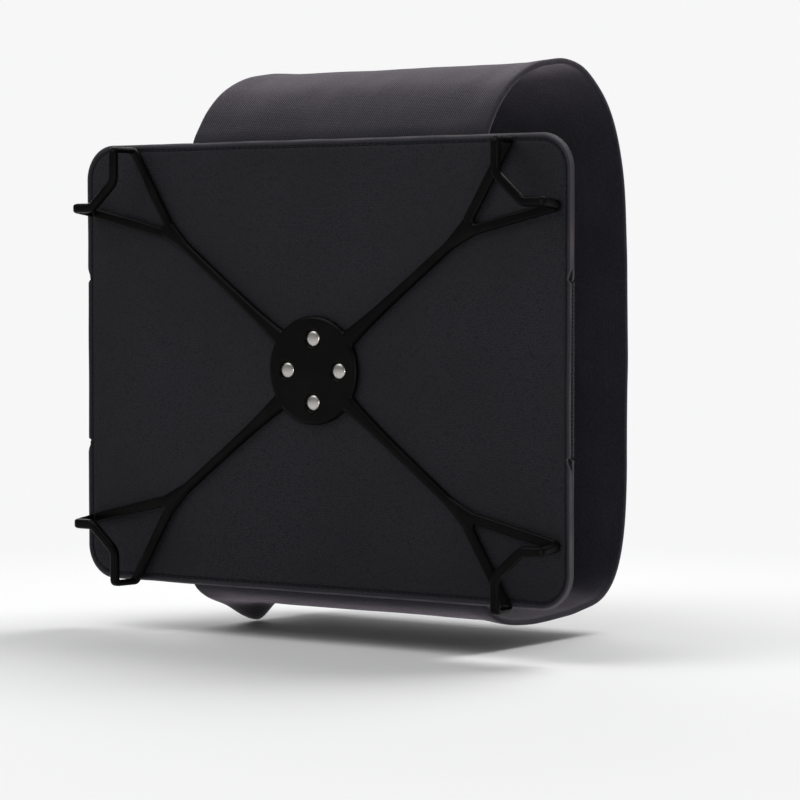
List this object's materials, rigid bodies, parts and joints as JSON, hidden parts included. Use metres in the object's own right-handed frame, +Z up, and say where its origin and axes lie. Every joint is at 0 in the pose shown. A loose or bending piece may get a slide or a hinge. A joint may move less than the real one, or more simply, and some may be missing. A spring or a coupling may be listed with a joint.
{
  "type": "headrest tablet mount",
  "caption": "Stiffened sewn panel with a moulded silicone corner net on its face, held by a hand strap on a wide stretch band looped round a seat headrest.",
  "frame": {"origin": "middle of the flat front face of the net's hub, where the back of the held device rests", "axes": "+X to the right seen from the front, +Z up, front of the mount towards -Y; metres"},
  "size_m": [0.254, 0.1393, 0.2448],
  "materials": {
    "coated_cloth": "fine grained, low sheen",
    "stiffener": "matt sheet",
    "thread": "twisted thread",
    "silicone": "smooth, slight gloss",
    "rivet_metal": "satin",
    "elastic": "ribbed woven elastic",
    "band_cloth": "matt knitted face",
    "hook_pile": "hook tape",
    "loop_pile": "brushed loop tape"
  },
  "bodies": {
    "root": {"front_panel": "coated_cloth", "stiffener_board": "stiffener", "back_panel": "coated_cloth", "edge_thread": "thread", "silicone_net": "silicone", "hub_rivets": "rivet_metal", "hand_strap": "elastic", "stretch_band": "band_cloth", "hook_tape": "hook_pile", "loop_tape": "loop_pile"}
  },
  "joints": []
}
